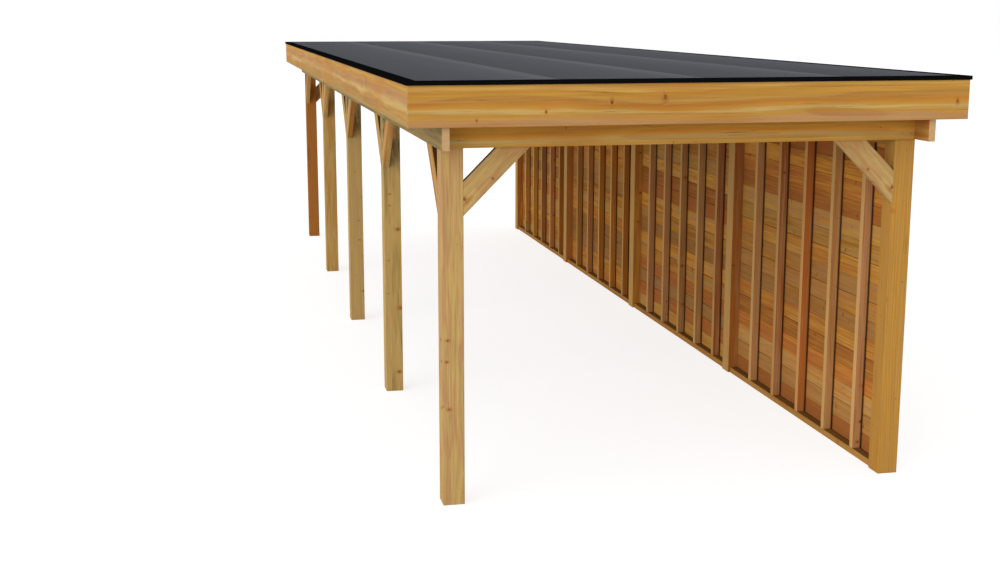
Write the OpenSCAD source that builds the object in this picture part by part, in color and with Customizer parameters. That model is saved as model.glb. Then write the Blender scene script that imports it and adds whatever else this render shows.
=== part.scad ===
// Freestanding patio cover: two rows of posts under a long flat roof, with a
// boarded wall between the posts of one row and the other row left open.
// X runs across the cover, from the open row to the walled row.
// Y runs along its length, and Z is up. The origin is on the ground, in the
// middle of the plan.

/* [Plan] */
// Distance from one post to the next along a row
bay_pitch = 3000; // [2400:50:3600]
// Width over the outer faces of the two rows of posts
row_width = 3375; // [2700:25:4200]
// Height from the ground to the underside of the beams
clear_height = 2450; // [2100:10:3000]

/* [Posts and beams] */
// Side of the square posts
post_side = 150; // [120:5:180]
// Thickness of the beams
beam_thick = 50; // [40:1:63]
// Height of the beams
beam_high = 200; // [150:5:250]
// Depth that a beam is housed into the face of a post
housing = 22; // [12:1:35]
// Length of each long beam past the outer face of an end post
beam_end = 222; // [100:1:400]
// Gap between the two lengths of a long beam, over the middle post
beam_joint = 2; // [1:1:5]

/* [Braces] */
// Thickness of a brace
brace_thick = 50; // [38:1:63]
// Width of a brace, across its grain
brace_wide = 160; // [90:5:180]
// Length that a brace reaches along the post and along the beam
brace_leg = 450; // [350:10:700]

/* [Wall] */
// Number of studs in a bay
stud_count = 5; // [2:1:6]
// Thickness of studs and plates
stud_thick = 50; // [38:1:50]
// Depth of studs and plates, across the wall
stud_deep = 70; // [45:1:80]
// Clear distance from a post to the first stud of its bay
stud_lead = 312; // [200:1:450]
// Clear distance from the last stud of a bay to the next post
stud_tail = 447; // [200:1:450]
// Thickness of the cladding
cladding_thick = 28; // [18:1:30]
// Clearance between the cladding and the beam that it rises behind
cladding_clearance = 10; // [2:1:20]
// Gap between the ground and the cladding
cladding_gap = 10; // [5:1:40]
// Height that the cladding rises behind the beam
cladding_lap = 30; // [0:5:100]

/* [Roof] */
// Thickness of the joists
joist_thick = 50; // [38:1:63]
// Height of the joists
joist_high = 220; // [145:5:250]
// Length of each joist past the outer faces of the posts
joist_end = 222; // [100:1:400]
// Largest distance from one joist to the next
joist_spacing = 600; // [400:10:700]
// Thickness of the roof boards
deck_thick = 20; // [16:1:28]
// Thickness of the roofing sheets
sheet_thick = 5; // [2:1:8]
// Width that each full roofing sheet covers
sheet_cover = 985; // [800:5:1000]
// Thickness of the fascia boards
fascia_thick = 28; // [18:1:35]
// Height of the fascia boards
fascia_high = 288; // [200:1:320]

/* [Edge trim] */
// Thickness of the metal of the edge trim
trim_metal = 3; // [2:0.5:4]
// Height of the trim's outer face
trim_high = 28; // [20:1:60]
// Gap between the fascia and the trim's outer leg
trim_gap = 7; // [3:1:15]
// Reach of the trim over the roof, from the fascia's outer face
trim_reach = 60; // [30:1:100]

/* [Hidden] */
bays = 4;
posts = bays + 1;
middle_post = 1 + floor(bays / 2);
sheets = 4;

// Across the cover
row_out = row_width / 2;
row_in = row_out - post_side;
beam_proud = beam_thick - housing;
roof_in_x = row_out + joist_end;
roof_out_x = roof_in_x + fascia_thick;

// Along the cover
row_long = bays * bay_pitch + post_side;
end_face = row_long / 2;
roof_in_y = end_face + beam_end;
roof_out_y = roof_in_y + fascia_thick;
bay_clear = bay_pitch - post_side;

// Upwards
beam_top = clear_height + beam_high;
joist_top = beam_top + joist_high;
deck_top = joist_top + deck_thick;
sheet_top = deck_top + sheet_thick;

// Wall, inwards from the long beam
cladding_out = row_out - housing - cladding_clearance;
cladding_in = cladding_out - cladding_thick;
stud_in = cladding_in - stud_deep;
cladding_top = clear_height + cladding_lap;
stud_pitch = (bay_clear - stud_lead - stud_tail - stud_thick) / (stud_count - 1);

// Roof
joists = 1 + ceil((2 * roof_in_y - joist_thick) / joist_spacing);
joist_pitch = (2 * roof_in_y - joist_thick) / (joists - 1);
sheet_first = 2 * roof_out_x - (sheets - 1) * sheet_cover;
trim_proud = trim_gap + trim_metal;

// Colours
post_wood = [0.78, 0.58, 0.32];
beam_wood = [0.75, 0.54, 0.27];
brace_wood = [0.80, 0.63, 0.38];
stud_wood = [0.72, 0.54, 0.35];
board_wood = [0.70, 0.48, 0.24];
fascia_wood = [0.80, 0.55, 0.27];
sheet_grey = [0.27, 0.28, 0.30];
trim_black = [0.03, 0.03, 0.03];

// Y of the front face of post i, where post 1 is at the front
function post_front(i) = (i - 1) * bay_pitch - end_face;

// A post of the left row, housed for the long beam at its outer face and, at
// the two ends, for the cross beam as well
module left_post(i) {
    color(post_wood)
    difference() {
        translate([-row_out, post_front(i), 0])
            cube([post_side, post_side, beam_top]);
        translate([-row_out - 1, post_front(i) - 1, clear_height])
            cube([housing + 1, post_side + 2, beam_high + 1]);
        if (i == 1)
            translate([-row_out - 1, post_front(i) - 1, clear_height])
                cube([post_side + 2, housing + 1, beam_high + 1]);
        if (i == posts)
            translate([-row_out - 1, end_face - housing, clear_height])
                cube([post_side + 2, housing + 1, beam_high + 1]);
    }
}

module right_post(i) {
    mirror([1, 0, 0]) left_post(i);
}

// A long beam in two lengths that meet over the middle post
module left_beam() {
    joint = post_front(middle_post) + post_side / 2;
    color(beam_wood)
    for (part = [[-roof_in_y, joint - beam_joint / 2], [joint + beam_joint / 2, roof_in_y]])
        translate([-row_out - beam_proud, part[0], clear_height])
            cube([beam_thick, part[1] - part[0], beam_high]);
}

module right_beam() {
    mirror([1, 0, 0]) left_beam();
}

// A cross beam between the long beams, housed into the two end posts
module front_cross_beam() {
    inside = row_out - housing;
    color(beam_wood)
    translate([-inside, -end_face - beam_proud, clear_height])
        cube([2 * inside, beam_thick, beam_high]);
}

module rear_cross_beam() {
    mirror([0, 1, 0]) front_cross_beam();
}

// A brace at 45 degrees. The origin is the corner of post and beam, and the
// brace lies in the X direction, below the beam
module brace() {
    inner = brace_leg - brace_wide * sqrt(2);
    color(brace_wood)
    translate([0, brace_thick, 0])
        rotate([90, 0, 0])
            linear_extrude(brace_thick)
                polygon([[0, -brace_leg], [brace_leg, 0], [inner, 0], [0, -inner]]);
}

// A brace along the left row, flush with the outer faces of the posts
module row_brace(corner, back) {
    translate([-row_out + brace_thick, corner, clear_height])
        mirror([0, back ? 0 : 1, 0])
            rotate([0, 0, 90])
                brace();
}

module left_braces(bay) {
    row_brace(post_front(bay) + post_side, true);
    row_brace(post_front(bay + 1), false);
}

module front_braces() {
    for (side = [0, 1])
        mirror([side, 0, 0])
            translate([-row_in, -end_face, clear_height])
                brace();
}

module rear_braces() {
    mirror([0, 1, 0]) front_braces();
}

// The plates lie between the posts of the right row
module wall_plates(bottom) {
    color(stud_wood)
    for (bay = [1:bays])
        translate([stud_in, post_front(bay) + post_side, bottom])
            cube([stud_deep, bay_clear, stud_thick]);
}

module wall_bottom_plates() {
    wall_plates(0);
}

module wall_top_plates() {
    wall_plates(clear_height - stud_thick);
}

module wall_studs(bay) {
    first = post_front(bay) + post_side + stud_lead;
    color(stud_wood)
    for (k = [0:stud_count - 1])
        translate([stud_in, first + k * stud_pitch, stud_thick])
            cube([stud_deep, stud_thick, clear_height - 2 * stud_thick]);
}

module wall_cladding(bay) {
    color(board_wood)
    translate([cladding_in, post_front(bay) + post_side, cladding_gap])
        cube([cladding_thick, bay_clear, cladding_top - cladding_gap]);
}

// Joists lie across the long beams, and the outermost ones back the fascias
module roof_joists() {
    color(beam_wood)
    for (k = [0:joists - 1])
        translate([-roof_in_x, -roof_in_y + k * joist_pitch, beam_top])
            cube([2 * roof_in_x, joist_thick, joist_high]);
}

module roof_deck() {
    color(board_wood)
    translate([-roof_in_x, -roof_in_y, joist_top])
        cube([2 * roof_in_x, 2 * roof_in_y, deck_thick]);
}

// Sheets run the whole length side by side, and the first one is cut to fit
module roof_sheet(i) {
    start = i == 1 ? 0 : sheet_first + (i - 2) * sheet_cover;
    wide = i == 1 ? sheet_first : sheet_cover;
    color(sheet_grey)
    translate([-roof_out_x + start, -roof_out_y, deck_top])
        cube([wide, 2 * roof_out_y, sheet_thick]);
}

// The end fascias run past the side ones, which fit between them
module front_fascia() {
    color(fascia_wood)
    translate([-roof_out_x, -roof_out_y, deck_top - fascia_high])
        cube([2 * roof_out_x, fascia_thick, fascia_high]);
}

module rear_fascia() {
    mirror([0, 1, 0]) front_fascia();
}

module left_fascia() {
    color(fascia_wood)
    translate([-roof_out_x, -roof_in_y, deck_top - fascia_high])
        cube([fascia_thick, 2 * roof_in_y, fascia_high]);
}

module right_fascia() {
    mirror([1, 0, 0]) left_fascia();
}

// A length of angle trim along Y at the left edge of a roof that is
// 2 * across wide and 2 * along long. Its ends are mitred.
module edge_trim(across, along) {
    out = across + trim_proud;
    far = along + trim_proud;
    deep = trim_proud + trim_reach;
    color(trim_black)
    intersection() {
        translate([-out, far, sheet_top + trim_metal])
            rotate([90, 0, 0])
                linear_extrude(2 * far)
                    polygon([[0, 0], [deep, 0], [deep, -trim_metal],
                        [trim_metal, -trim_metal], [trim_metal, -trim_high],
                        [0, -trim_high]]);
        translate([0, 0, sheet_top + trim_metal - trim_high])
            linear_extrude(trim_high)
                polygon([[-out, -far], [-out, far], [deep - out, far - deep],
                    [deep - out, deep - far]]);
    }
}

module left_trim() {
    edge_trim(roof_out_x, roof_out_y);
}

module right_trim() {
    mirror([1, 0, 0]) left_trim();
}

module front_trim() {
    rotate([0, 0, 90]) edge_trim(roof_out_y, roof_out_x);
}

module rear_trim() {
    mirror([0, 1, 0]) front_trim();
}

for (i = [1:posts]) {
    left_post(i);
    right_post(i);
}
left_beam();
right_beam();
front_cross_beam();
rear_cross_beam();
front_braces();
rear_braces();
wall_bottom_plates();
wall_top_plates();
for (i = [1:bays]) {
    left_braces(i);
    wall_studs(i);
    wall_cladding(i);
}
roof_joists();
roof_deck();
for (i = [1:sheets])
    roof_sheet(i);
front_fascia();
rear_fascia();
left_fascia();
right_fascia();
front_trim();
rear_trim();
left_trim();
right_trim();
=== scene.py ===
# Freestanding patio cover: the looks of each piece, in the order in which the
# cover is put up. X runs across it, from the open row of posts to the walled
# row, Y along it from front to rear, and Z is up. Lengths are in metres.
import math
import random

import bmesh
import bpy
from mathutils import Matrix, Vector


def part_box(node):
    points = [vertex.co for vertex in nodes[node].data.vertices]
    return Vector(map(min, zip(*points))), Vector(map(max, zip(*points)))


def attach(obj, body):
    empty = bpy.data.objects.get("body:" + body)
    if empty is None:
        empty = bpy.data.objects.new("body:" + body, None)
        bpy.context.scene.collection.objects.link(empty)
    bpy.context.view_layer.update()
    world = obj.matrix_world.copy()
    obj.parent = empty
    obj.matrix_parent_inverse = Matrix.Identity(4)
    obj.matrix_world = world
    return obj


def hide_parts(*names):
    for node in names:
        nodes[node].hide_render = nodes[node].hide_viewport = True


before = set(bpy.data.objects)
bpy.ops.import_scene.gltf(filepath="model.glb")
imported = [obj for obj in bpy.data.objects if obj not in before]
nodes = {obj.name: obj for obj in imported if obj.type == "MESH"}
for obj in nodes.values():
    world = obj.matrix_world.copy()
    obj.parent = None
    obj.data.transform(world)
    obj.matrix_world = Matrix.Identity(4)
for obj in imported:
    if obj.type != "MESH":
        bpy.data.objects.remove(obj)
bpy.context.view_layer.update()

# ---------------------------------------------------------------- viewpoint
# The camera stands in front of the cover and to the left of its open row, a
# little above roof height.
camera = bpy.data.objects.new("camera", bpy.data.cameras.new("camera"))
camera.location = (-3.1926, -15.0107, 3.3133)
camera.rotation_euler = (math.radians(79.075), 0, math.radians(-12.010))
camera.data.lens = 49.98
camera.data.sensor_width = 36
camera.data.clip_end = 200
bpy.context.scene.collection.objects.link(camera)
bpy.context.scene.camera = camera
bpy.context.scene.view_settings.view_transform = "Standard"


# ------------------------------------------------------- floor and daylight
# A plain white studio floor under soft light from all round, with one broad
# lamp from the front left. Floor and sky look white to the camera, and so does
# the sky in glossy surfaces. The floor keeps a faint shadow of the cover.
class Wire:
    """A socket in a material. Sums on it add Math nodes to the material."""

    def __init__(self, tree, socket=None):
        self.tree = tree
        self.socket = socket

    def node(self, kind, settings=None, values=None, out=0):
        """Adds a node: its settings first, then the values or links of its sockets."""
        made = self.tree.nodes.new(kind)
        for key, value in (settings or {}).items():
            if key == "stops":
                stops = made.color_ramp.elements
                stops.remove(stops[1])
                stops[0].position, stops[0].color = value[0][0], (*value[0][1], 1)
                for place, tone in value[1:]:
                    stops.new(place).color = (*tone, 1)
            else:
                setattr(made, key, value)
        for key, value in (values or {}).items():
            if isinstance(value, Wire):
                self.tree.links.new(value.socket, made.inputs[key])
            else:
                made.inputs[key].default_value = value
        return Wire(self.tree, made.outputs[out]) if len(made.outputs) else None

    def math(self, operation, *terms):
        return self.node("ShaderNodeMath", {"operation": operation}, dict(enumerate(terms)))

    def __add__(self, other):
        return self.math("ADD", self, other)

    __radd__ = __add__

    def __sub__(self, other):
        return self.math("SUBTRACT", self, other)

    def __rsub__(self, other):
        return self.math("SUBTRACT", other, self)

    def __mul__(self, other):
        return self.math("MULTIPLY", self, other)

    __rmul__ = __mul__

    def __truediv__(self, other):
        return self.math("DIVIDE", self, other)

    def __pow__(self, other):
        return self.math("POWER", self, other)

    def __mod__(self, other):
        return self.math("FLOORED_MODULO", self, other)

    def __abs__(self):
        return self.math("ABSOLUTE", self)

    def rise(self, low, high):
        """0 below low, 1 above high and a smooth step between them."""
        return self.node("ShaderNodeMapRange", {"interpolation_type": "SMOOTHSTEP"},
                         {"Value": self, "From Min": low, "From Max": high})

    def blend(self, share, tone, how="MIX"):
        """This colour with a share of another colour laid over it."""
        return self.node("ShaderNodeMix", {"data_type": "RGBA", "blend_type": how},
                         {0: share, 6: self, 7: tone}, 2)


def finish(name):
    """A new material, and the object's own X, Y and Z in it."""
    made = bpy.data.materials.new(name)
    made.use_nodes = True
    made.node_tree.nodes.clear()
    wire = Wire(made.node_tree)
    spot = wire.node("ShaderNodeTexCoord", out="Object")
    spread = wire.node("ShaderNodeSeparateXYZ", None, {0: spot}).socket.node
    return made, [Wire(made.node_tree, socket) for socket in spread.outputs]


def surface(wire, values):
    """Ends a material in one surface shader with these values."""
    shader = wire.node("ShaderNodeBsdfPrincipled", None, values)
    wire.node("ShaderNodeOutputMaterial", None, {"Surface": shader})


world = bpy.data.worlds.new("daylight")
bpy.context.scene.world = world
world.use_nodes = True
world.node_tree.nodes.clear()
sky = Wire(world.node_tree)
seen = sky.node("ShaderNodeLightPath", out="Is Camera Ray")
glossy = Wire(sky.tree, seen.socket.node.outputs["Is Glossy Ray"])
daylight = 0.72
strength = sky.math("MAXIMUM", seen, glossy) * (1 - daylight) + daylight
sky.node("ShaderNodeOutputWorld", None, {
    "Surface": sky.node("ShaderNodeBackground", None, {"Color": (1, 1, 1, 1), "Strength": strength})})

lamp = bpy.data.objects.new("lamp", bpy.data.lights.new("lamp", "SUN"))
lamp.data.energy = 1.6
lamp.data.angle = math.radians(55)
lamp.rotation_euler = Vector((-0.80, -0.58, 0.30)).to_track_quat("Z", "Y").to_euler()
bpy.context.scene.collection.objects.link(lamp)

floor_reach = 90
floor_mesh = bmesh.new()
bmesh.ops.create_grid(floor_mesh, x_segments=1, y_segments=1, size=floor_reach)
floor_data = bpy.data.meshes.new("floor")
floor_mesh.to_mesh(floor_data)
floor_mesh.free()
floor = bpy.data.objects.new("floor", floor_data)
bpy.context.scene.collection.objects.link(floor)
white, axes = finish("white_floor")
wire = axes[0]
seen = wire.node("ShaderNodeLightPath", out="Is Camera Ray")
glow = wire.node("ShaderNodeEmission", None, {"Color": (1, 1, 1, 1), "Strength": 0.80})
matt = wire.node("ShaderNodeBsdfDiffuse", None, {"Color": (0.34, 0.34, 0.34, 1)})
plain = wire.node("ShaderNodeBsdfDiffuse", None, {"Color": (0.80, 0.80, 0.80, 1)})
shown = wire.node("ShaderNodeAddShader", None, {0: glow, 1: matt})
wire.node("ShaderNodeOutputMaterial", None, {
    "Surface": wire.node("ShaderNodeMixShader", None, {0: seen, 1: plain, 2: shown})})
floor_data.materials.append(white)

# -------------------------------------------------------------------- posts
# Ten square softwood posts, planed and oiled, each sawn from one log, with
# small knots and eased arrises. They stand straight on the ground, and their
# heads are notched for the beams.

# Tones of planed softwood, then a moss green that also paints shade on two post heads, and tones of
# knots, late wood and end grain
HONEY = (0.490, 0.262, 0.060)
AMBER = (0.540, 0.265, 0.040)
GOLD = (0.590, 0.335, 0.078)
ORANGE = (0.500, 0.205, 0.034)
STRAW = (0.580, 0.390, 0.132)
BEIGE = (0.520, 0.340, 0.130)
OLIVE = (0.410, 0.270, 0.084)
ROSE = (0.520, 0.285, 0.122)
MAUVE = (0.420, 0.195, 0.062)
RUST = (0.400, 0.138, 0.022)
BROWN = (0.420, 0.168, 0.032)
TAN = (0.500, 0.265, 0.098)
COPPER = (0.690, 0.300, 0.036)
MOSS = (0.250, 0.205, 0.088)
KNOT = (0.110, 0.036, 0.010)
LATE = (0.76, 0.58, 0.40)
END_GRAIN = (0.660, 0.410, 0.200)


def noise(at, scale, detail):
    """Soft noise at a place that is given by its X, Y and Z."""
    spot = at[0].node("ShaderNodeCombineXYZ", None, dict(enumerate(at)))
    return spot.node("ShaderNodeTexNoise", None, {"Vector": spot, "Scale": scale, "Detail": detail})


def timber(name, turn, tones, seed, member=None, own=0.7, bands=False, broad=0.045,
           stretch=16.0, strong=2.0, fine=0.45, ring=0.009, pith=(0.07, -0.11), knot=0.085,
           knot_gap=0.26, painted_top_shade=0.0, ends=True, corner_shade=None, mottled_shade=None, side_light=False):
    """Planed softwood for one node, with painted shade in corners, on upward faces and in a mottled
    band, and painted light on faces that look towards -X.

    turn gives the ways along, across and through the grain. The tones lie in patches, or in
    bands across the board. member numbers the pieces of a node, and own is how far their
    tones part. broad, stretch, strong and fine are a patch's width, its length in widths,
    its contrast and its streaks. pith is where the heart of the log lies and ring a year's
    growth. knot is the largest knot, and knot_gap the space between knots.
    """
    made, (x, y, z) = finish(name)
    along, across, through = turn(x, y, z)
    lift = 1.0
    hue = 0.5
    # Each piece of a node has its own brightness, hue and stretch of the grain
    if member:
        chance = x.node("ShaderNodeTexWhiteNoise", {"noise_dimensions": "1D"},
                        {"W": member(x, y, z) + seed})
        other = (chance * 37.0) % 1.0
        along = along + chance * 11.0
        lift = ((chance * 91.0) % 1.0) * 0.36 + 0.83
        hue = other * 0.020 + 0.490

    def figure(wide, long, detail=2.0):
        """Noise drawn out along the grain, in patches of these sizes."""
        return noise((across / wide, through / wide, along / long + seed * 3.7), 1.0, detail)

    sway = figure(0.25, 1.9) - 0.5
    ripple = figure(0.05, 0.35) - 0.5
    patch = figure(broad, broad * stretch)
    streak = figure(0.014, 0.50, 3.0)
    fibre = figure(0.0018, 0.05)

    # Knots run through from face to face: most are pin knots, a few are grown
    cells = x.node("ShaderNodeTexVoronoi", {"voronoi_dimensions": "2D"}, {
        "Scale": 1.0,
        "Vector": x.node("ShaderNodeCombineXYZ", None, {
            0: across / knot_gap, 1: along / (knot_gap * 0.65) + seed * 1.9})})
    lot = x.node("ShaderNodeSeparateColor", None,
                 {0: Wire(x.tree, cells.socket.node.outputs["Color"])})
    size = (lot * lot * lot * 0.85 + 0.15) * knot
    near = cells + ripple * 0.03
    heart = 1 - near.rise(size * 0.50, size)
    halo = 1 - near.rise(size * 0.8, size * 2.6)

    # Year rings round the pith, which swing out round the knots
    off = across - pith[0] + sway * 0.06 + ripple * 0.012
    deep = through - pith[1] + sway * 0.03
    rings = ((off * off + deep * deep) ** 0.5 + halo * size * (knot_gap * 0.35)) / ring
    phase = rings % 1.0
    late = phase.rise(0.20, 0.86) * (1 - phase.rise(0.90, 1.0))

    if bands:
        low, high = tones[0][0], tones[-1][0]
        stops = [((place - low) / (high - low), tone) for place, tone in tones]
        level = (across - low) / (high - low) + sway * 0.42 + ripple * 0.10 + (streak - 0.5) * 0.16
    else:
        stops = [(k / (len(tones) - 1), tone) for k, tone in enumerate(tones)]
        level = (patch - 0.5) * strong + (streak - 0.5) * fine + 0.5
        if member:
            level = level + (other - 0.5) * own
    colour = x.node("ShaderNodeValToRGB", {"stops": stops}, {0: level})
    colour = colour.blend(late * (patch * 0.6 + (0.14 if bands else 0.02)), (*LATE, 1), "MULTIPLY")
    if bands:
        flush = figure(0.5, 1.1, 3.0)
        colour = colour.blend(flush.rise(0.50, 0.68) * 0.50, (*ORANGE, 1))
    colour = colour.blend(halo * (lot * 0.40 + 0.20), (*RUST, 1))
    colour = colour.blend(heart * (0.85 - (lot * 7.0) % 1.0 * 0.45), (*KNOT, 1))
    facing = x.node("ShaderNodeSeparateXYZ", None,
                    {0: x.node("ShaderNodeNewGeometry", out="Normal")}).socket.node.outputs
    normal = [Wire(x.tree, socket) for socket in facing]
    # End grain by where a face looks, with painted shade on upward faces and in corners, and painted
    # light on faces that look towards -X
    shade = lift * ((streak - 0.5) * 0.45 + (fibre - 0.5) * 0.22 + 1.0)
    if ends:
        cut = abs(turn(*normal)[0]).rise(0.80, 0.95)
        sawn = (late * 0.16 + (fibre - 0.5) * 0.2) * -1.0 + 1.0
        pale = x.node("ShaderNodeHueSaturation", None, {"Value": sawn, "Color": (*END_GRAIN, 1)})
        colour = colour.blend(cut * 0.85, pale)
    # Painted shade: faces that look up are darkened
    if painted_top_shade:
        shade = shade * (1 - normal[2].rise(0.45, 0.65) * painted_top_shade)
    # Painted light: faces that look towards -X, to the open side, are paler and brighter
    if side_light:
        lit_face = (normal[0] * -1.0).rise(0.6, 0.9)
        colour = colour.blend(lit_face * 0.60, (*STRAW, 1))
        shade = shade * (lit_face * 0.10 + 1.0)
    # Painted shade: darker where the given corner mask is high, next to the cladding
    if corner_shade:
        shade = shade * (1 - corner_shade(x, y, z) * 0.86)
    # Painted shade: a mottled moss-green band over the given heights
    if mottled_shade:
        speck = figure(0.03, 0.08, 4.0).rise(0.36, 0.58)
        colour = colour.blend(z.rise(*mottled_shade) * speck * 0.80, (*MOSS, 1))
    # Fine drying checks along the grain
    check = abs(figure(0.022, 1.4, 1.0) - 0.5)
    check = (1 - check.rise(0.004, 0.010)) * patch.rise(0.56, 0.66)
    shade = shade * (1 - check * 0.35)
    colour = x.node("ShaderNodeHueSaturation", None,
                    {"Hue": hue, "Value": shade, "Color": colour})
    relief = fibre * 0.30 + late * 0.30 - heart * 0.4 - check * 0.8
    surface(x, {
        "Base Color": colour,
        "Roughness": 0.74 - late * 0.10 + fibre * 0.08,
        "Specular IOR Level": 0.14,
        "Normal": x.node("ShaderNodeBump", None,
                         {"Strength": 0.7, "Distance": 0.0009, "Height": relief})})
    return made


def ease(piece, width):
    """Takes the sharp arrises off a sawn piece."""
    weld = piece.modifiers.new("weld", "WELD")
    weld.merge_threshold = 0.00005
    arris = piece.modifiers.new("arris", "BEVEL")
    arris.width = width
    arris.segments = 2
    arris.limit_method = "ANGLE"
    arris.angle_limit = math.radians(40)


def dress(node, material, width):
    """Gives a CAD piece its material and its eased arrises."""
    piece = nodes[node]
    piece.data.materials.clear()
    piece.data.materials.append(material)
    ease(piece, width)


def upright(x, y, z):
    """Grain that runs up. Across it, a step on X counts like one on Y."""
    return z, x + y * 0.85, y - x


post_tones = {
    "left_post_1": [BEIGE, STRAW, ROSE, STRAW, BEIGE, STRAW],
    "left_post_2": [STRAW, BEIGE, STRAW, OLIVE, STRAW],
    "left_post_3": [STRAW, BEIGE, STRAW, BEIGE],
    "left_post_4": [GOLD, HONEY, STRAW, AMBER],
    "left_post_5": [RUST, BROWN, RUST],
    "right_post_1": [ORANGE, AMBER, HONEY, AMBER, HONEY, ORANGE],
    "right_post_2": [BROWN, MAUVE, RUST, BROWN],
    "right_post_3": [MAUVE, BROWN, AMBER, BROWN],
    "right_post_4": [RUST, BROWN, MAUVE],
    "right_post_5": [BROWN, RUST, AMBER],
}
post_arris = 0.004
# Painted shade as a mottled moss-green band on the heads of these posts, under the braces
shaded_heads = ("left_post_2", "left_post_3")
shade_band = (1.80, 2.20)
# Painted light on the faces of these posts that look towards -X
side_lit_posts = ("right_post_2", "right_post_3", "right_post_4", "right_post_5")
for seed, (node, tones) in enumerate(post_tones.items()):
    dress(node, timber(node + "_timber", upright, tones, seed + 1.0, broad=0.06, stretch=9.0,
                       strong=1.5, fine=0.35, mottled_shade=shade_band if node in shaded_heads else None,
                       side_light=node in side_lit_posts), post_arris)

# -------------------------------------------------------------------- beams
# Deep sawn planks of the same wood on edge: the long ones in two lengths that
# meet over the middle posts, the cross ones notched in between the end posts.
# They are screwed to the posts through their faces.
beam_arris = 0.003


def lengthways(x, y, z):
    return y, z, x


def crossways(x, y, z):
    return x, z, y


dress("left_beam", timber("left_beam_timber", lengthways, [MOSS, OLIVE, MOSS, HONEY], 21.0,
                          pith=(1.9, -1.69)), beam_arris)
dress("right_beam", timber("right_beam_timber", lengthways, [RUST, HONEY, RUST, MAUVE], 22.0,
                           pith=(1.9, 1.69)), beam_arris)
cross_bands = [(2.450, AMBER), (2.475, GOLD), (2.500, STRAW), (2.520, COPPER), (2.560, AMBER),
               (2.600, COPPER), (2.650, COPPER)]
for seed, (node, heart) in enumerate((("front_cross_beam", -6.4), ("rear_cross_beam", 6.4))):
    dress(node, timber(node + "_timber", crossways, cross_bands, 23.0 + seed, bands=True,
                       pith=(2.5, heart), knot_gap=0.40, knot=0.08), beam_arris)

# ------------------------------------------------------------------- braces
# Short planks at 45 degrees between a post and its beam, with mitred ends,
# screwed on at each end. Their upward faces carry painted shade.
bays = range(1, 5)
slant = math.sqrt(0.5)
plank_arris = 0.002


def brace_lie(middle):
    """Both braces of a bay, as mirror images about its middle."""
    def turn(x, y, z):
        out = abs(y - middle)
        return (z - out) * slant, (z + out) * slant, x
    return turn


def cross_brace_lie(x, y, z):
    return (z - abs(x)) * slant, (z + abs(x)) * slant, y


for bay in bays:
    node = f"left_braces_bay_{bay}"
    low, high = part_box(node)
    dress(node, timber(node + "_timber", brace_lie((low.y + high.y) / 2),
                       [HONEY, STRAW, ORANGE, HONEY], 30.0 + bay, painted_top_shade=0.8, ends=False,
                       broad=0.07), plank_arris)
for seed, node in enumerate(("front_braces", "rear_braces")):
    dress(node, timber(node + "_timber", cross_brace_lie,
                       [BEIGE, TAN, BEIGE, STRAW, TAN], 36.0 + seed, painted_top_shade=0.8, ends=False,
                       broad=0.05, stretch=4.0, ring=0.016), plank_arris)

# --------------------------------------------------------- plates and studs
# The wall's frame between the posts: a plate along the ground, a plate under
# the beam, and five studs a bay that are nailed between them. They carry
# painted shade where they meet the cladding and on the plates' upward faces,
# and the studs carry painted light on their faces that look towards -X.
wall_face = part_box("wall_cladding_bay_1")[0].x
stud_count = 5
stud_thick = 0.05


# Painted shade on the last 15 mm before the inside of the cladding
def wall_corner_shade(x, y, z):
    return x.rise(wall_face - 0.015, wall_face - 0.003)


def stud_line(bay):
    """The middle of a bay's first stud, and the step from each stud to the next."""
    low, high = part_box(f"wall_studs_bay_{bay}")
    return low.y + stud_thick / 2, (high.y - low.y - stud_thick) / (stud_count - 1)


def stud_number(bay):
    """Numbers the studs of a bay along the wall."""
    first, pitch = stud_line(bay)

    def number(x, y, z):
        return x.math("FLOOR", (y - first) / pitch + 0.5)
    return number


for bay in bays:
    node = f"wall_studs_bay_{bay}"
    tones = [BROWN, ROSE, TAN, MAUVE, ROSE] if bay < 3 else [BROWN, MAUVE, AMBER, BROWN, RUST]
    dress(node, timber(node + "_timber", upright, tones, 40.0 + bay * 13.0,
                       member=stud_number(bay), own=1.2, strong=0.8, corner_shade=wall_corner_shade,
                       side_light=True), plank_arris)
for seed, node in enumerate(("wall_bottom_plates", "wall_top_plates")):
    dress(node, timber(node + "_timber", lengthways, [ORANGE, HONEY, BROWN], 46.0 + seed,
                       painted_top_shade=0.55, corner_shade=wall_corner_shade), plank_arris)

# ----------------------------------------------------------------- cladding
# Feather-edged softwood boards nailed across the studs from the outside. Each
# is rebated and laps over the one below it, so the wall is flat on its inside
# and stepped on its outside.
board_count = 17
board_lap = 0.020
thin_edge = 0.010
rebate_play = 0.0008
board_joints = (0.0010, 0.0015, 0.0025, 0.0040, 0.0060)
end_gap = 0.002
board_arris = 0.0012


def prism(shape, profile, start, end, layer=None, number=0):
    """Draws a profile in X and Z out along Y, and may mark its faces with a number."""
    face = shape.faces.new([shape.verts.new((px, start, pz)) for px, pz in profile])
    drawn = bmesh.ops.extrude_face_region(shape, geom=[face])["geom"]
    moved = [v for v in drawn if isinstance(v, bmesh.types.BMVert)]
    bmesh.ops.translate(shape, verts=moved, vec=(0, end - start, 0))
    if layer is not None:
        for f in {g for v in list(face.verts) + moved for g in v.link_faces}:
            f[layer] = number


def piece_of(shape, name):
    """Turns the finished shape into a piece, with its faces pointing outwards."""
    bmesh.ops.recalc_face_normals(shape, faces=shape.faces)
    data = bpy.data.meshes.new(name)
    shape.to_mesh(data)
    shape.free()
    made = bpy.data.objects.new(name, data)
    bpy.context.scene.collection.objects.link(made)
    return made


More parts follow.
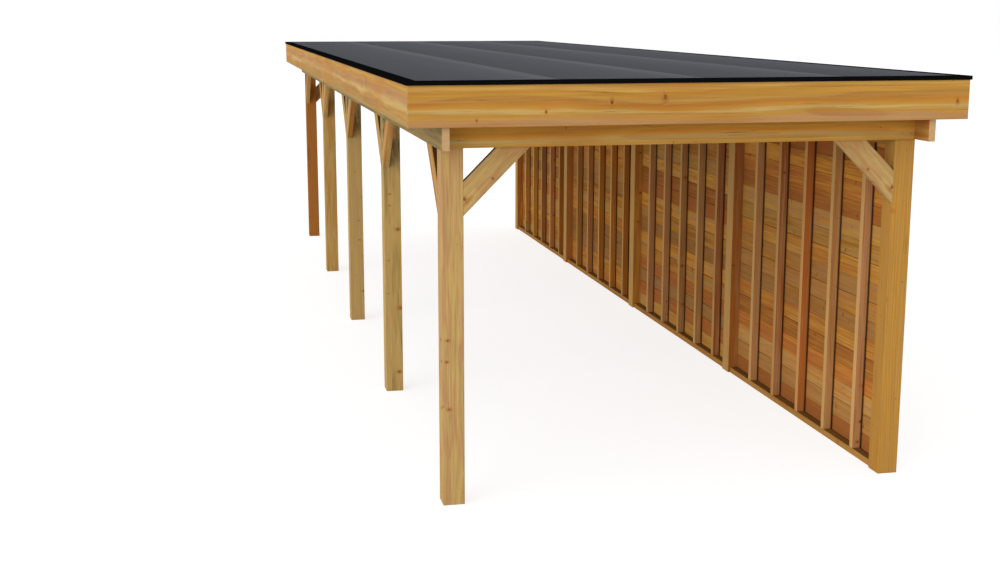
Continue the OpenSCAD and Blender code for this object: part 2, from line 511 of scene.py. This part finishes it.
def board_lie(node):
    """A bay's corners, the height that a board covers and the slope of its front."""
    low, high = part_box(node)
    cover = (high.z - low.z) / board_count
    return low, high, cover, (high.x - low.x - thin_edge) / (cover + board_lap)


def cladding(node, chance):
    """The boards of one bay: flat backs, sloping fronts and rebated lower edges."""
    low, high, cover, slope = board_lie(node)
    shape = bmesh.new()
    layer = shape.faces.layers.float.new("board")
    rebate = low.x + thin_edge + rebate_play
    for k in range(board_count):
        foot = low.z + k * cover
        head = min(foot + cover + board_lap, high.z)
        step = foot + board_lap + chance.choice(board_joints)
        prism(shape, [(low.x, step), (rebate, step), (rebate, foot), (high.x, foot),
                      (high.x - (head - foot) * slope, head), (low.x, head)],
              low.y + end_gap, high.y - end_gap, layer, k)
    return piece_of(shape, node + "_boards")


def board_number(x, y, z):
    return x.node("ShaderNodeAttribute", {"attribute_name": "board"}, out="Fac")


def stud_corner_shade(bay):
    """Painted shade lines on the inside of the boards, where they meet the studs of a bay."""
    first, pitch = stud_line(bay)

    def corner_shade(x, y, z):
        off = abs(((y - first) / pitch + 0.5) % 1.0 - 0.5) * pitch
        return (1 - off.rise(0.030, 0.052)) * (1 - x.rise(wall_face + 0.004, wall_face + 0.006))
    return corner_shade


chance = random.Random(7)
for bay in bays:
    node = f"wall_cladding_bay_{bay}"
    boards = cladding(node, chance)
    boards.data.materials.append(
        timber(node + "_timber", lengthways,
               [BROWN, ORANGE, AMBER, GOLD, TAN, COPPER, BROWN, MAUVE],
               50.0 + bay * 23.0, member=board_number, own=1.3, strong=0.8, fine=0.6,
               broad=0.07, corner_shade=stud_corner_shade(bay)))
    ease(boards, board_arris)
    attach(boards, "root")
    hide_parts(node)

# ------------------------------------------------------------------- joists
# Planks on edge across the long beams, 0.6 m apart, that carry the boards.
# Only people under the roof see them.
joist_low, joist_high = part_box("roof_joists")
joist_count = 22
joist_thick = 0.05
joist_first = joist_low.y + joist_thick / 2
joist_pitch = (joist_high.y - joist_low.y - joist_thick) / (joist_count - 1)


def joist_number(x, y, z):
    return x.math("FLOOR", (y - joist_first) / joist_pitch + 0.5)


dress("roof_joists", timber("roof_joist_timber", crossways, [HONEY, GOLD, AMBER, ROSE], 60.0,
                            member=joist_number), plank_arris)

# -------------------------------------------------------------- roof boards
# Tongued boards along the cover, nailed down on the joists, with a small V
# at each joint on the underside. Their lengths meet over joists, in turns.
deck_low, deck_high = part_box("roof_deck")
deck_rows = 32
deck_wide = (deck_high.x - deck_low.x) / deck_rows
vee = 0.004
joint = 0.0006
joists_met = [(4, 11, 18), (7, 14), (2, 9, 16), (6, 13, 19)]

shape = bmesh.new()
layer = shape.faces.layers.float.new("board")
index = 0
for row in range(deck_rows):
    left = deck_low.x + row * deck_wide
    right = left + deck_wide - joint
    profile = [(left + vee, deck_low.z), (right - vee, deck_low.z), (right, deck_low.z + vee),
               (right, deck_high.z), (left, deck_high.z), (left, deck_low.z + vee)]
    meets = [joist_first + k * joist_pitch for k in joists_met[row % len(joists_met)]]
    ends = [deck_low.y] + meets + [deck_high.y]
    for start, end in zip(ends, ends[1:]):
        prism(shape, profile, start + joint, end - joint, layer, index)
        index += 1
deck = piece_of(shape, "roof_boards")
deck.data.materials.append(timber("roof_board_timber", lengthways, [HONEY, STRAW, ROSE, ORANGE],
                                  70.0, member=board_number))
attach(deck, "root")
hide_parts("roof_deck")

# ---------------------------------------------------------- roofing sheets
# Slate grey mineral roofing sheet in four lengths side by side, stuck down on
# the boards. Each length laps over the one to its right, and the lap stands a
# little proud and ends just short of the trim.
lap_wide = 0.08
lap_high = 0.0028
lap_fall = 0.025
lap_crease = 0.004
lap_edge = 0.001
lap_gap = 0.004


def roofing(name, left, right, seed):
    """Fine mineral grit on a sheet that is darkest along its left edge."""
    made, (x, y, z) = finish(name)
    grit = noise((x, y, z + seed), 900.0, 1.0)
    cloud = noise((x * 3.0, y * 0.35, z + seed), 1.0, 4.0)
    streak = noise((x * 40.0, y * 1.2, z + seed), 1.0, 3.0)
    tone = x.node("ShaderNodeValToRGB", {"stops": [
        (0.0, (0.042, 0.046, 0.055)), (0.55, (0.056, 0.060, 0.072)), (0.90, (0.070, 0.074, 0.088)),
        (1.0, (0.092, 0.096, 0.110))]},
        {0: (x - left) / (right - left)})
    shade = (cloud - 0.5) * 0.25 + (streak - 0.5) * 0.22 + (grit - 0.5) * 0.5 + 1.0
    tone = x.node("ShaderNodeHueSaturation", None, {"Value": shade, "Color": tone})
    surface(x, {
        "Base Color": tone,
        "Roughness": 0.85 + (grit - 0.5) * 0.2,
        "Specular IOR Level": 0.08,
        "Normal": x.node("ShaderNodeBump", None,
                         {"Strength": 0.5, "Distance": 0.0006, "Height": grit})})
    return made


sheet_count = 4
lap_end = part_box("rear_trim")[0].y - lap_gap
for k in range(1, sheet_count + 1):
    node = f"roof_sheet_{k}"
    low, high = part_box(node)
    shape = bmesh.new()
    prism(shape, [(low.x, low.z), (high.x, low.z), (high.x, high.z), (low.x, high.z)],
          low.y, high.y)
    if k < sheet_count:
        edge = high.x + lap_wide
        top = high.z + lap_high
        prism(shape, [(high.x - lap_fall, high.z), (edge, high.z), (edge - lap_edge, top),
                      (high.x - lap_crease, top)], -lap_end, lap_end)
    sheet = piece_of(shape, node + "_lapped")
    sheet.data.materials.append(roofing(node + "_felt", low.x, high.x, k * 5.0))
    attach(sheet, "root")
    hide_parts(node)

# ------------------------------------------------------------ fascia boards
# Wide planed boards that close the edge of the roof. The end ones run past
# the side ones, and all are nailed to the joists' ends and outer joists.
end_bands = [(2.602, TAN), (2.658, TAN), (2.665, AMBER), (2.690, HONEY), (2.708, STRAW),
             (2.722, AMBER), (2.750, ORANGE), (2.775, HONEY), (2.805, AMBER), (2.845, GOLD),
             (2.890, AMBER)]
side_bands = [(2.602, OLIVE), (2.690, HONEY), (2.740, STRAW), (2.765, TAN), (2.805, TAN),
              (2.818, AMBER), (2.845, GOLD), (2.890, AMBER)]
fascias = [("front", crossways, end_bands, False, -6.9), ("rear", crossways, end_bands, False, 6.9),
           ("left", lengthways, side_bands, True, -2.5), ("right", lengthways, side_bands, True, 2.5)]
for seed, (side, turn, tones, ends, heart) in enumerate(fascias):
    dress(f"{side}_fascia", timber(f"{side}_fascia_timber", turn, tones, 81.0 + seed, bands=True,
                                   ends=ends, pith=(2.68, heart), knot_gap=0.40, knot=0.065),
          plank_arris)

# ---------------------------------------------------------------- edge trim
# Black coated metal angle round the edge of the roof, mitred at the corners.
# Its outer leg stands clear of the fascia boards, so that rain drips off it.
trim_arris = 0.0008
black, (x, y, z) = finish("black_coat")
peel = noise((x, y, z), 60.0, 3.0)
tone = x.node("ShaderNodeValToRGB", {"stops": [
    (0.3, (0.003, 0.003, 0.0035)), (0.8, (0.006, 0.006, 0.0065))]}, {0: peel})
surface(x, {
    "Base Color": tone,
    "Roughness": 0.50 + peel * 0.15,
    "Specular IOR Level": 0.0,
    "Normal": x.node("ShaderNodeBump", None,
                     {"Strength": 0.3, "Distance": 0.0003, "Height": peel})})
for side in ("front", "rear", "left", "right"):
    dress(f"{side}_trim", black, trim_arris)

# ----------------------------------------------------------------- fixings
# Galvanised screws hold the frame together: four at each joint of a beam and
# a post, and two through the lower edge of a brace at each of its ends. Thin
# galvanised nails hold the fascia boards and the cladding.
proud = 0.0010


def fixing(shape, at, way, radius, sides=8):
    """A low head at a point on a face, turned the way that face looks."""
    spin = Vector(way).to_track_quat("Z", "Y").to_matrix().to_4x4()
    head = bmesh.ops.create_cone(shape, cap_ends=True, segments=sides, radius1=radius,
                                 radius2=radius * 0.6, depth=proud * 2)["verts"]
    bmesh.ops.transform(shape, matrix=Matrix.Translation(at) @ spin, verts=head)


def galvanised(name):
    """Dull zinc with small spangles."""
    made, (x, y, z) = finish(name)
    spangle = noise((x, y, z), 700.0, 2.0)
    tone = x.node("ShaderNodeValToRGB", {"stops": [
        (0.3, (0.19, 0.18, 0.165)), (0.7, (0.33, 0.32, 0.30))]}, {0: spangle})
    surface(x, {"Base Color": tone, "Metallic": 0.7, "Roughness": 0.48 + spangle * 0.2})
    return made


zinc = galvanised("zinc")


def fixed(shape, name):
    """Finishes a set of fixings as one zinc piece."""
    heads = piece_of(shape, name)
    heads.data.materials.append(zinc)
    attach(heads, "root")


screw_head = 0.006
screw_in = 0.045
post_screw_in = 0.03
cross_screws = (1.575, 1.640)
beam_low, beam_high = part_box("right_beam")
cross_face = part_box("rear_cross_beam")[1].y
screw_rows = (beam_low.z + screw_in, beam_high.z - screw_in)
shape = bmesh.new()
for k in range(1, 6):
    low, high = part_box(f"left_post_{k}")
    for side in (-1, 1):
        for up in screw_rows:
            for along in (low.y + post_screw_in, high.y - post_screw_in):
                fixing(shape, (side * beam_high.x, along, up), (side, 0, 0), screw_head)
for end in (-1, 1):
    for side in (-1, 1):
        for up in screw_rows:
            for across in cross_screws:
                fixing(shape, (side * across, end * cross_face, up), (0, end, 0), screw_head)
brace_screws = [(step, off) for step in (0.07, 0.38) for off in (-0.012, 0.012)]
for bay in bays:
    low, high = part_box(f"left_braces_bay_{bay}")
    for end, turn in ((low.y, 1), (high.y, -1)):
        for step, off in brace_screws:
            fixing(shape, ((low.x + high.x) / 2 + off, end + turn * step, low.z + step),
                   (0, turn * slant, -slant), screw_head)
for node in ("front_braces", "rear_braces"):
    low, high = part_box(node)
    for end, turn in ((low.x, 1), (high.x, -1)):
        for step, off in brace_screws:
            fixing(shape, (end + turn * step, (low.y + high.y) / 2 + off, low.z + step),
                   (turn * slant, 0, -slant), screw_head)
fixed(shape, "frame_screws")

fascia_nail = 0.0025
nail_in = 0.04
nail_pitch = 0.6
side_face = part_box("right_fascia")[1].x
end_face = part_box("rear_fascia")[1].y
shape = bmesh.new()
for up in (joist_low.z + nail_in, joist_high.z - nail_in):
    for side in (-1, 1):
        for k in range(joist_count):
            along = joist_first + k * joist_pitch
            fixing(shape, (side * side_face, along, up), (side, 0, 0), fascia_nail)
        for k in range(-3, 4):
            fixing(shape, (k * nail_pitch, side * end_face, up), (0, side, 0), fascia_nail)
fixed(shape, "fascia_nails")

board_nail = 0.0035
nail_up = 0.035
shape = bmesh.new()
for bay in bays:
    low, high, cover, slope = board_lie(f"wall_cladding_bay_{bay}")
    first, pitch = stud_line(bay)
    for k in range(board_count):
        for stud in range(stud_count):
            at = (high.x - nail_up * slope, first + stud * pitch, low.z + k * cover + nail_up)
            fixing(shape, at, (1, 0, slope), board_nail, 6)
fixed(shape, "cladding_nails")
